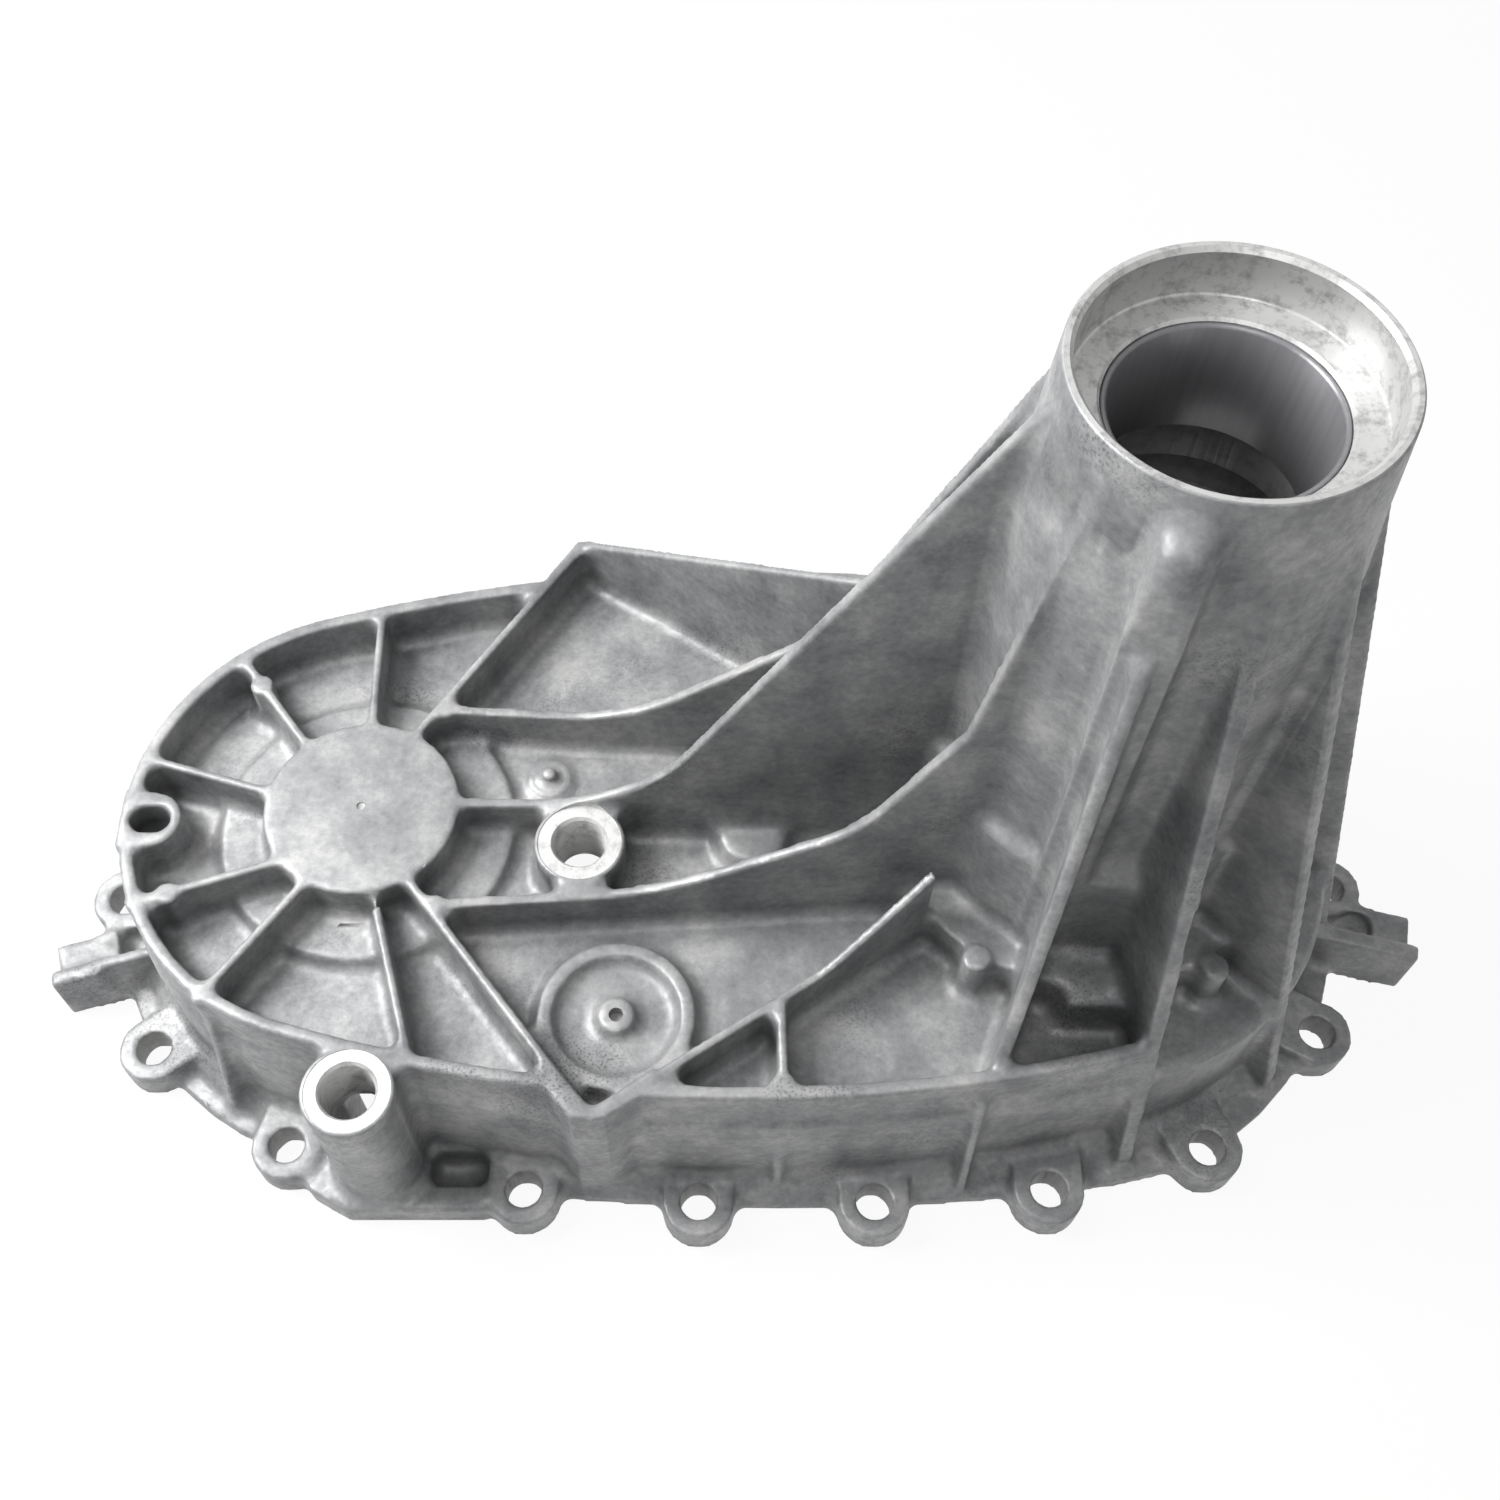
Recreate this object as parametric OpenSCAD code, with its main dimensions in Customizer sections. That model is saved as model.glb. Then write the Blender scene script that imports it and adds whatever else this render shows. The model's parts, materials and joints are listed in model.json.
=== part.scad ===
// Rear half of a chain driven transfer case: a die cast shell with a ribbed
// deck, a blind bearing boss and a tall output tower that holds a plain bush.
// Millimetres. Z = 0 is the mating face and the origin is the centre of the
// bolt rows on it. The output tower stands towards +X, the bearing boss lies
// towards -X and the drain boss towards -Y. Modules below draw about the shaft
// line, and place() moves them to the origin.

/* [Shaft line] */
// distance from the output shaft to the blind bearing boss
shaft_distance = 210; // [204:1:216]
// the parting outline lies this far in front of the shaft line
outline_shift = 1.5; // [0:0.5:3]

/* [Levels] */
// height of the tower face above the mating face
tower_h = 248; // [244:1:252]
// height of the rim, the ribs and the boss cap
rim_h = 69; // [66:1:74]
// depth of the deck floor below the rim
deck_depth = 16; // [14:1:18]
// thickness of the deck floor
floor_t = 4.5; // [3.5:0.5:5.5]
// thickness of the bolt ears
ear_t = 12; // [11:1:14]
// thickness of the flange between the ears
flange_t = 6; // [5:0.5:8]

/* [Outline] */
// radius of the deck round the bearing boss
deck_r_left = 72.5; // [71:0.5:74]
// radius of the deck round the output shaft
deck_r_right = 76; // [75:0.5:78]
// radius of the long front and back sides
deck_r_side = 450; // [430:10:480]
// the bearing boss sits off the middle of its end by this much
deck_shift = 2.5; // [1:0.5:4]
// wall of the shell
wall_t = 4.5; // [4:0.25:5.5]
// width of the raised rim
rim_w = 4; // [3.5:0.25:5]
// how far the lower wall stands out past the upper wall
wall_step = 1.5; // [0.5:0.25:2.5]
// how far the wall foot stands out past the upper wall
foot_out = 4; // [3:0.5:5]

/* [Flange] */
// radius of the flange edge and of the left bolt holes
bolt_r_left = 85.2; // [84:0.2:87]
// radius of the flange edge and of the right bolt holes
bolt_r_right = 92; // [90:0.2:93]
// radius of the long flange sides
flange_r_side = 700; // [650:10:760]
// angle between neighbouring left bolt holes
bolt_step_left = 37; // [35:0.5:38]
// angle of the first right bolt holes off the shaft line
bolt_a_right = 30; // [28:0.5:32]
// angle of the second right bolt holes off the shaft line
bolt_b_right = 64; // [62:0.5:66]
// angle of the right end bolt hole off the middle line
bolt_end_right = 2.4; // [1.6:0.2:3]
// pitch of the bolt holes along each long side
bolt_pitch = 51.4; // [49:0.2:53]
// how far the long rows stand outside the flange edge
row_out = 1.5; // [0:0.5:3]
// clearance hole for the case bolts
bolt_d = 10.5; // [10:0.25:11]
// radius of a bolt ear
ear_r = 10.5; // [9.5:0.25:11.5]
// length of the tab that joins an ear to the wall
ear_reach = 17; // [15:0.5:19]

/* [Bearing boss] */
// diameter of the blind boss cap
boss_d = 57.4; // [54:0.2:60]
// diameter of the raised ring round the boss
boss_ring_d = 88; // [84:1:92]
// height of that ring above the deck floor
boss_ring_t = 3.5; // [2:0.5:5]
// bearing seat inside the boss
boss_seat_d = 41; // [38:0.5:44]
// thickness of the boss cap over the seat
boss_cap_t = 6; // [5:0.5:8]
// how far the bearing hub hangs below the deck floor
hub_drop = 14; // [10:1:18]

/* [Tower] */
// outer diameter of the tower face
tower_face_d = 73; // [71:0.5:75]
// outer diameter of the tower
tower_d = 81; // [79:0.5:83]
// length of the taper under the tower face
tower_taper = 43; // [38:1:48]
// outer diameter of the collar under the tower face
collar_d = 76; // [74.5:0.5:77]
// length of that collar
collar_l = 20; // [16:1:24]
// seal seat in the tower face
seal_d = 67.6; // [66:0.2:68.4]
// depth of the seal seat
seal_depth = 12.7; // [11:0.1:14]
// lead in at the mouth of the seal seat
seal_lead = 1; // [0.5:0.1:1.4]
// bore that carries the bush
bush_d = 52.4; // [51:0.1:54]
// wall of the bush
bush_wall = 1.4; // [1.2:0.1:2]
// length of the bush
bush_l = 31; // [28:1:34]
// lead in at the top of the bush
bush_lead = 0.7; // [0.3:0.1:1]
// the bush sits this far below the seal shoulder
bush_sink = 0.8; // [0.4:0.1:1.4]
// drawn gap all round between the bush and its bore
bush_gap = 0.02; // [0.01:0.01:0.05]
// length of the bush bore below the seal shoulder
bush_land = 33; // [32.5:0.5:36]
// core under the bush bore
throat_d = 58; // [56:0.5:60]
// length of that core
throat_l = 14; // [10:1:18]
// core inside the tower
core_d = 66; // [62:0.5:67]
// seat for the output bearing at the tower foot
output_seat_d = 80; // [78:0.5:81]
// height of the top of that seat
output_seat_h = 100; // [96:1:101]

/* [Ribs] */
// thickness of the radial deck ribs
rib_t = 2.6; // [2:0.1:3.2]
// thickness of the three long ribs
long_rib_t = 3.2; // [2.6:0.1:4]
// thickness of the tower fins
fin_t = 4.6; // [3.6:0.2:5.6]
// spacing of the outer long ribs from the middle one at the boss
long_rib_gap = 33; // [31:0.5:35]
// the middle long rib lies this far behind the shaft line
long_rib_shift = 1.2; // [0:0.2:2]
// the outer long ribs close in to this at the tower
long_rib_close = 23.5; // [22:0.5:26]
// bend radius of the middle long rib
mid_bend_r = 52; // [48:1:56]
// lean of the middle long rib on the tower
mid_lean = 61.4; // [60:0.2:62]
// first bend radius of the front long rib
front_bend_r = 80; // [74:1:86]
// second bend radius of the front long rib
front_bend_r2 = 40; // [36:1:44]
// lean of the front long rib below its knee
front_lean = 62.5; // [61.5:0.5:63.5]
// lean of the front long rib above its knee
front_lean_top = 81; // [80.5:0.1:81.5]
// run of that steep length before the tower
front_steep_l = 13.3; // [12.5:0.1:14]
// bend radius of the back long rib
back_bend_r = 56; // [52:1:60]
// lean of the back long rib on the tower
back_lean = 66.5; // [65:0.5:67.5]
// angle of the first tower fins off the shaft line
fin_first = 10; // [9:1:13]
// angle between neighbouring tower fins
fin_step = 35; // [33:1:37]
// height where the tower fins run out
fin_h = 222; // [218:1:226]
// how much the fins spread per millimetre of height
fin_slope = 0.238; // [0.23:0.002:0.246]
// angle of the oil passage ridge and the fin in front of it
ridge_a = 110.2; // [109:0.2:112]
// width of that ridge
ridge_w = 13; // [12:0.5:14]
// distance from the shaft line to the face of that ridge
ridge_r = 46.4; // [46:0.2:48]
// height of the top of that ridge
ridge_h = 239; // [232:1:242]
// outer diameter of the bearing housing at the tower foot
housing_d = 90; // [88:0.5:92]
// height of the top of that housing
housing_h = 107; // [103:1:110]
// edge of that housing
housing_edge = 1.5; // [1:0.5:3]
// diameter of the round platform under the tower
platform_d = 114; // [110:1:117]
// depth of that platform below the rim
platform_drop = 2; // [1:0.5:4]

/* [Plugs and pads] */
// tapping hole for the fill and drain plugs
plug_d = 14.4; // [14:0.1:15]
// lead in at the mouth of each plug hole
plug_lead = 1; // [0.5:0.1:1.2]
// length of the plug threads
plug_l = 19; // [17:1:21]
// diameter of the drain boss
drain_d = 25.6; // [25:0.2:27]
// drain boss, distance from the boss centre along X
drain_x = 5.2; // [3:0.2:8]
// drain boss, distance in front of the shaft line
drain_y = 87.8; // [86:0.2:89]
// oil way behind the drain thread
drain_core_d = 16; // [15:0.5:17]
// diameter of the fill boss
fill_d = 26.4; // [25:0.2:27.4]
// fill boss, distance from the bearing boss along X
fill_x = 64.6; // [62:0.2:67]
// fill boss, distance in front of the shaft line
fill_y = 12; // [11.6:0.2:13]
// outer diameter of the tag seat
tag_d = 44.8; // [43:0.2:46]
// tag seat, distance from the boss centre along X
tag_x = 76; // [74:0.5:77]
// tag seat, distance in front of the shaft line
tag_y = 61.2; // [60:0.2:62]
// width of the tag seat ring
tag_w = 4.2; // [3:0.2:5]
// height of the tag seat above the deck floor
tag_h = 5; // [4:0.5:6]
// diameter of the stud in the tag seat
tag_stud_d = 10.4; // [9:0.2:12]
// hole in that stud
tag_hole_d = 4; // [3:0.2:5]
// length of the locating slot in the left rim
slot_l = 12; // [10:0.5:13]
// locating slot, distance from the boss centre along X
slot_x = 61.4; // [61:0.1:62]
// locating slot, distance in front of the shaft line
slot_y = 4.2; // [3:0.2:5]
// width of the locating slot
slot_w = 8.6; // [8:0.2:9]
// depth of the locating slot
slot_depth = 13; // [10:1:14]
// wall round the locating slot
slot_wall = 4.8; // [4:0.2:5.4]

/* [Pry lugs] */
// height of the ridge on each pry lug
lug_h = 22; // [20:1:24]
// width of that ridge
lug_w = 5.6; // [5:0.2:6.4]
// height of the plate behind it
lug_plate_h = 13.5; // [12.6:0.1:14]
// width of the left plate
lug_plate_left = 12.8; // [12:0.2:14]
// width of the right plate
lug_plate_right = 14; // [13:0.2:15]
// direction of the left lug seen from the bearing boss
lug_a_left = 197.2; // [196:0.2:198]
// direction of the right lug seen from the output shaft
lug_a_right = -14.8; // [-16:0.2:-14]
// reach of the left lug from the boss centre
lug_reach_left = 105.8; // [104:0.2:107]
// reach of the right lug from the shaft line
lug_reach_right = 115.3; // [114:0.1:117]

/* [Hidden] */
$fn = 32;
eps = 0.01;
sink = 1.5;
mid = -outline_shift;
boss_x = -shaft_distance;
floor_h = rim_h - deck_depth;
roof_h = floor_h - floor_t;
step_h = floor_h - 3;
left_x = boss_x + deck_shift;
rib_top = rim_h - 0.3;
side_rib_x = boss_x + 122;

// centre of a side arc that runs smoothly into both end arcs, seen from the middle
function side_cx(xl, rl, rr, ra) =
    (pow(ra - rl, 2) - pow(ra - rr, 2) - xl * xl) / (-2 * xl);
function side_cy(xl, rl, rr, ra) =
    sqrt(pow(ra - rr, 2) - pow(side_cx(xl, rl, rr, ra), 2));

deck_cx = side_cx(left_x, deck_r_left, deck_r_right, deck_r_side);
deck_cy = side_cy(left_x, deck_r_left, deck_r_right, deck_r_side);
flange_cx = side_cx(boss_x, bolt_r_left, bolt_r_right, flange_r_side);
flange_cy = side_cy(boss_x, bolt_r_left, bolt_r_right, flange_r_side);

// points on an arc about c from angle a to angle b, both ends in
function arc_pts(c, r, a, b, n) =
    [for (i = [0:n]) c + r * [cos(a + (b - a) * i / n), sin(a + (b - a) * i / n)]];

// closed outline of two end arcs joined smoothly by two long arcs, grown by d
function egg(xl, rl, rr, ra, cx, cy, d) =
    let (al = atan2(-cy, xl - cx), ar = atan2(-cy, -cx)) concat(
        arc_pts([cx, mid + cy], ra + d, al, ar, 12),
        arc_pts([0, mid], rr + d, ar + 1, -ar - 1, 20),
        arc_pts([cx, mid - cy], ra + d, -ar, -al, 12),
        arc_pts([xl, mid], rl + d, -al + 1, 360 + al - 1, 20)
    );

module deck_outline(d) {
    polygon(egg(left_x, deck_r_left, deck_r_right, deck_r_side, deck_cx, deck_cy, d));
}

module flange_outline() {
    polygon(egg(boss_x, bolt_r_left, bolt_r_right, flange_r_side, flange_cx, flange_cy, 0));
}

// places of the bolt holes as [x, y, direction towards the wall]
function row_y(x) =
    flange_cy - sqrt(pow(flange_r_side + row_out, 2) - pow(x - flange_cx, 2));
row_x = [for (i = [-1.5:1:1.5]) flange_cx + i * bolt_pitch];
left_a = [for (i = [-2:2]) 180 + i * bolt_step_left];
right_a = [-bolt_b_right, -bolt_a_right, bolt_end_right, bolt_a_right, bolt_b_right];
bolts = concat(
    [for (a = left_a) [boss_x + bolt_r_left * cos(a), mid + bolt_r_left * sin(a), a + 180]],
    [for (a = right_a) [bolt_r_right * cos(a), mid + bolt_r_right * sin(a), a + 180]],
    [for (x = row_x) [x, mid + row_y(x), 90]],
    [for (x = row_x) [x, mid - row_y(x), -90]]
);

module ear(b) {
    c = [b[0], b[1]];
    u = [cos(b[2]), sin(b[2])];
    v = (ear_r - 0.2) * [-u[1], u[0]];
    translate([b[0], b[1], 0]) cylinder(r = ear_r, h = ear_t, $fn = 20);
    linear_extrude(height = ear_t)
        polygon([c - v, c - v + ear_reach * u, c + v + ear_reach * u, c + v]);
}

// upright wall between two plan points
module wall(p, q, t, z0, z1) {
    n = t / 2 / norm(q - p) * [p[1] - q[1], q[0] - p[0]];
    translate([0, 0, z0]) linear_extrude(height = z1 - z0)
        polygon([p - n, q - n, q + n, p + n]);
}

// upright wall between two plan points whose side view is a list of [along, height]
module wall_shape(p, q, t, pts) {
    d = q - p;
    translate([p[0], p[1], 0]) rotate([0, 0, atan2(d[1], d[0])])
        rotate([90, 0, 0]) translate([0, 0, -t / 2])
            linear_extrude(height = t) polygon(pts);
}

// side view of a long rib: level, then a bend to lean a of radius r, straight to
// s1, a second bend of radius r2 to lean b, straight to length l, and a level
// root inside the wall it runs into; past length l it may run on at lean c
function rise(s0, r, a, s1, r2, b, l) = rib_top + r * (1 - cos(a))
    + (s1 - s0 - r * sin(a)) * tan(a) + r2 * (cos(a) - cos(b))
    + (l - s1 - r2 * (sin(b) - sin(a))) * tan(b);
function bend(s0, r, a, s1, r2, b, l, root, c = 0, run = 0) =
    let (z1 = rise(s0, r, a, s1, 0, a, s1), z2 = rise(s0, r, a, s1, r2, b, l)) concat(
        [[0, floor_h - sink], [0, rib_top]],
        [for (i = [0:8]) [s0 + r * sin(a * i / 8), rib_top + r * (1 - cos(a * i / 8))]],
        [for (i = [0:5]) let (t = a + (b - a) * i / 5)
            [s1 + r2 * (sin(t) - sin(a)), z1 + r2 * (cos(a) - cos(t))]],
        run > 0 ? [[l, z2]] : [],
        [for (e = [0, root]) [l + run + e, z2 + run * tan(c)]],
        [[l + run + root, floor_h - sink]]
    );

// y at x on the line through two plan points
function line_y(p, q, x) = p[1] + (q[1] - p[1]) * (x - p[0]) / (q[0] - p[0]);

// fin on the tower from a list of [radius, height]
module fin(a, t, pts) {
    rotate([0, 0, a]) rotate([90, 0, 0]) translate([0, 0, -t / 2])
        linear_extrude(height = t) polygon(pts);
}

// plan points of the two pointed pockets
tip_front = [boss_x + 70, -95];
tip_back = [boss_x + 62, 98];
front_start = [boss_x + 15, -23];
back_start = [boss_x + 13, 24];
front_end = [-47, -34];
back_end = [-53, 33];
mid_start = [boss_x + 27, long_rib_shift + 0.3];
mid_end = [-36, long_rib_shift - 1];
rib_front_start = [boss_x + 24, long_rib_shift - long_rib_gap];
rib_front_end = [-31, long_rib_shift - long_rib_close];
rib_back_start = [boss_x + 22, long_rib_shift + long_rib_gap];
rib_back_end = [-31, long_rib_shift + long_rib_close];

module flange_part() {
    linear_extrude(height = flange_t) flange_outline();
    linear_extrude(height = flange_t + 3) deck_outline(foot_out + 3);
    linear_extrude(height = ear_t) deck_outline(foot_out);
    for (b = bolts) ear(b);
    // straight pad that carries the foot of the drain boss
    linear_extrude(height = ear_t - 1)
        polygon([[boss_x - 22, -88], [boss_x - 15, -97], [boss_x - 4, -103],
                 [boss_x + 36, -103], [boss_x + 40, -99], [boss_x + 40, -80],
                 [boss_x - 22, -80]]);
}

// lug of a tall ridge with a low plate on side s, drawn outwards from c along a
module pry_lug(c, a, start, reach, y, s, plate_w, pocket, back, recess) {
    rear = y + s * lug_w / 2;
    deep = plate_w - back + 0.4;
    translate([c[0], c[1], 0]) rotate([0, 0, a]) difference() {
        union() {
            wall([start, y], [reach, y], lug_w, 0, lug_h);
            wall([start, rear + s * (plate_w - 2) / 2], [reach - 0.8, rear + s * (plate_w - 2) / 2],
                plate_w + 2, 0, lug_plate_h);
        }
        // pocket behind the ridge, and a recess in front of it
        wall([start - 1, rear + s * (deep / 2 - 0.4)], [pocket, rear + s * (deep / 2 - 0.4)],
            deep, -1, lug_h + 1);
        wall([start - 1, y - s * 4.1], [recess, y - s * 4.1], 6, flange_t + 0.8, lug_h + 1);
    }
}

module shell_part() {
    linear_extrude(height = step_h) deck_outline(wall_step);
    linear_extrude(height = floor_h) deck_outline(0);
    // raised rim, open towards the tower on the right
    difference() {
        linear_extrude(height = rim_h) deck_outline(0);
        translate([0, 0, floor_h]) linear_extrude(height = deck_depth + 1)
            deck_outline(-rim_w);
        translate([11, -150, floor_h]) cube([200, 300, deck_depth + 1]);
    }
    // outer corners of the two pointed pockets
    linear_extrude(height = rim_h) polygon([tip_front + [-14, 10], tip_front + [-5, -0.5],
        tip_front + [4, -0.5], tip_front + [17.5, 8], tip_front + [17, 16], tip_front + [-13, 16]]);
    linear_extrude(height = rim_h) polygon([tip_back + [-11, -13], tip_back + [-2, 1],
        tip_back + [2, 1], tip_back + [19, -11], tip_back + [19, -18], tip_back + [-11, -18]]);
}

// pocket that keeps the corner of a pointed rib pair hollow above the deck
module corner_pocket(pts) {
    translate([0, 0, floor_h]) linear_extrude(height = deck_depth + 1) polygon(pts);
}

module rim_ribs() {
    c = [boss_x, 0];
    wall(c + [0.4, 27], c + [-0.5, 69], rib_t, floor_h - sink, rim_h);
    wall(c + [-17.5, 20], c + [-42, 53], rib_t, floor_h - sink, rim_h);
    wall(c + [-27, 5], c + [-67, 17.2], rib_t, floor_h - sink, rim_h);
    wall(c + [-22, -18], c + [-64, -32], rib_t, floor_h - sink, rim_h);
    wall(c + [-14, -25], c + [-40, -62], rib_t, floor_h - sink, rim_h);
    wall(c + [7.5, -33], c + [21, -80], rib_t, floor_h - sink, rim_h);
    wall([side_rib_x, -61], [side_rib_x, -88], rib_t, floor_h - sink, rim_h);
    wall([side_rib_x, 61], [side_rib_x, 84], rib_t, floor_h - sink, rim_h);
    // round pads on the ribs
    for (p = [c + [-34.8, 43], c + [-52.6, -28.4], [side_rib_x, -86]])
        translate([p[0], p[1], floor_h - sink]) cylinder(d = 7, h = deck_depth + sink);
}

module long_ribs() {
    wall_shape(mid_start, mid_end, long_rib_t,
        bend(22, mid_bend_r, 30, 23 + mid_bend_r / 2, mid_bend_r, mid_lean,
            norm(mid_end - mid_start), 7));
    wall_shape(rib_front_start, rib_front_end, long_rib_t,
        bend(42, front_bend_r, 28, 107, front_bend_r2, front_lean,
            norm(rib_front_end - rib_front_start) - front_steep_l, 6, front_lean_top, front_steep_l));
    wall_shape(rib_back_start, rib_back_end, long_rib_t,
        bend(34, back_bend_r, 40, 104, 36, back_lean, norm(rib_back_end - rib_back_start), 7));
    // round knots where the outer long ribs leave the pointed pockets
    for (p = [rib_front_start, rib_back_start])
        translate([p[0], p[1], floor_h - sink]) cylinder(d = 6, h = rim_h - floor_h + sink);
    // pointed pockets in front and behind
    wall(front_start, tip_front, rib_t, floor_h - sink, rim_h);
    wall(back_start, tip_back, rib_t, floor_h - sink, rim_h);
    wall_shape(tip_front, front_end, rib_t,
        bend(71, 20, 29, 84, 120, 33, norm(front_end - tip_front), 0.5));
    wall_shape(tip_back, back_end, rib_t, [[0, floor_h - sink], [0, rib_top],
        [norm(back_end - tip_back), rib_top + norm(back_end - tip_back) * 0.54],
        [norm(back_end - tip_back), floor_h - sink]]);
}

module tower_part() {
    cylinder(d = tower_d, h = tower_h - tower_taper);
    translate([0, 0, tower_h - tower_taper])
        cylinder(d1 = tower_d, d2 = collar_d, h = tower_taper - collar_l);
    translate([0, 0, tower_h - collar_l])
        cylinder(d1 = collar_d, d2 = tower_face_d, h = collar_l);
    // bearing housing on a round platform at the foot of the tower
    cylinder(d = housing_d, h = housing_h - housing_edge);
    translate([0, 0, housing_h - housing_edge])
        cylinder(d1 = housing_d, d2 = housing_d - 2 * housing_edge, h = housing_edge);
    cylinder(d = platform_d, h = rim_h - platform_drop);
    // oil passage ridge
    u = [cos(ridge_a), -sin(ridge_a)];
    wall(30 * u, ridge_r * u, ridge_w, 0, ridge_h);
}

module tower_fins() {
    r0 = tower_d / 2 - 3.5;
    foot = r0 + 2 + (fin_h - ear_t) * fin_slope;
    fin(-ridge_a, fin_t - 1, [[r0, 207], [ridge_r + 1.5, 207], [ridge_r + 3.5, 202],
        [85, rim_h + 1.4], [88, rim_h - 0.4], [88, floor_h - sink], [r0, floor_h - sink]]);
    for (i = [0:2], s = [-1, 1])
        fin(s * (fin_first + i * fin_step), fin_t, [[r0, fin_h + 2], [r0 + 2, fin_h],
            [foot, ear_t], [foot, 0], [r0, 0]]);
}

module side_ribs() {
    // gussets on the outer wall
    for (g = [[[left_x, mid], 237, deck_r_left], [[left_x, mid], 123, deck_r_left]])
        translate([g[0][0], g[0][1], 0]) fin(g[1], rib_t,
            [[g[2] - 2, rim_h - 2], [g[2] + 0.6, rim_h - 2], [g[2] + 10, flange_t], [g[2] + 10, 0], [g[2] - 2, 0]]);
    for (x = [side_rib_x, -33.5], s = [-1, 1])
        translate([x, 0, 0]) fin(90 * s, rib_t,
            [[84, rim_h - 8], [88.6, rim_h - 8], [96.5, flange_t], [96.5, 0], [84, 0]]);
}

module bosses() {
    translate([boss_x, 0, 0]) {
        cylinder(d = boss_d, h = rim_h);
        cylinder(d = boss_ring_d, h = floor_h + boss_ring_t);
    }
    // drain boss on the outside of the front wall
    translate([boss_x + drain_x, -drain_y, 0]) cylinder(d = drain_d, h = rim_h);
    // fill boss with a web to the middle rib and a neck to the front rib
    translate([boss_x + fill_x, -fill_y, 0]) {
        cylinder(d = fill_d, h = rim_h);
        translate([-9, 0, 0]) cube([18, fill_y, rim_h - 1]);
        neck_l = -fill_y - line_y(rib_front_start, rib_front_end, boss_x + fill_x);
        translate([-5, -neck_l, 0]) cube([10, neck_l, rim_h]);
    }
    // seat for the round tag
    translate([boss_x + tag_x, -tag_y, floor_h - sink]) difference() {
        cylinder(d = tag_d, h = tag_h + sink);
        translate([0, 0, sink + 1.2]) cylinder(d = tag_d - 2 * tag_w, h = tag_h);
    }
    translate([boss_x + tag_x, -tag_y, floor_h]) cylinder(d = tag_stud_d, h = tag_h);
    // boss of the locating slot
    translate([boss_x - slot_x, -slot_y, roof_h]) {
        cylinder(d = slot_w + 2 * slot_wall, h = rim_h - roof_h);
        translate([-9, -slot_w / 2 - slot_wall, 0])
            cube([9, slot_w + 2 * slot_wall, rim_h - roof_h]);
    }
    // small pad with a pin, two ejector pads, and two cast lumps
    translate([boss_x + 53.5, 18, floor_h - sink]) cylinder(d = 13.4, h = sink + 1.6);
    translate([boss_x + 53.5, 18, floor_h]) cylinder(d = 4, h = 4.6);
    for (p = [[-33.3, -48.8], [33, -51.4]])
        translate([p[0], p[1], floor_h - sink]) cylinder(d = 8, h = deck_depth + sink);
    translate([-95, -3, floor_h - sink]) cylinder(d = 21, h = 8);
    translate([-95, -9, floor_h - sink]) cube([10, 11, 8]);
    translate([-9.5, -62.3, floor_h - sink]) cube([20, 20, deck_depth - 3 + sink]);
}

module outside() {
    flange_part();
    difference() {
        shell_part();
        corner_pocket([tip_front + [-26, 34], tip_front + [0.5, 2.5], tip_front + [40, 30]]);
        corner_pocket([tip_back + [-26, -36], tip_back + [0.5, -2.8], tip_back + [40, -29]]);
    }
    bosses();
    rim_ribs();
    long_ribs();
    tower_part();
    intersection() {
        tower_fins();
        linear_extrude(height = tower_h) deck_outline(15.6);
    }
    side_ribs();
    pry_lug([boss_x, 0], lug_a_left, deck_r_left - 2.5, lug_reach_left, 3.1, -1,
        lug_plate_left, 85.8, -1, 90.8);
    pry_lug([0, 0], lug_a_right, deck_r_right - 1, lug_reach_right, 4.3, 1,
        lug_plate_right, 102.4, 3, 0);
}

module chain_space() {
    difference() {
        translate([0, 0, -eps]) linear_extrude(height = roof_h + eps) deck_outline(-wall_t);
        // bearing hub inside, under the blind boss
        translate([boss_x, 0, roof_h - hub_drop]) cylinder(d = boss_d, h = hub_drop + 1);
        // bosses that stand in the wall keep their metal
        translate([boss_x - slot_x, -slot_y, floor_h - slot_depth])
            cylinder(d = slot_w + 2 * slot_wall, h = slot_depth);
        translate([boss_x + fill_x, -fill_y, rim_h - plug_l - 3]) cylinder(d = fill_d, h = plug_l);
        translate([boss_x + drain_x, -drain_y, -1]) cylinder(d = drain_d, h = rim_h);
        // seat wall of the output bearing
        translate([0, 0, roof_h - 1.5]) cylinder(d = housing_d, h = 3);
    }
    // room under the round platform
    difference() {
        cylinder(d = platform_d - 2 * wall_t, h = rim_h - platform_drop - floor_t);
        cylinder(d = housing_d, h = rim_h);
    }
}

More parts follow.
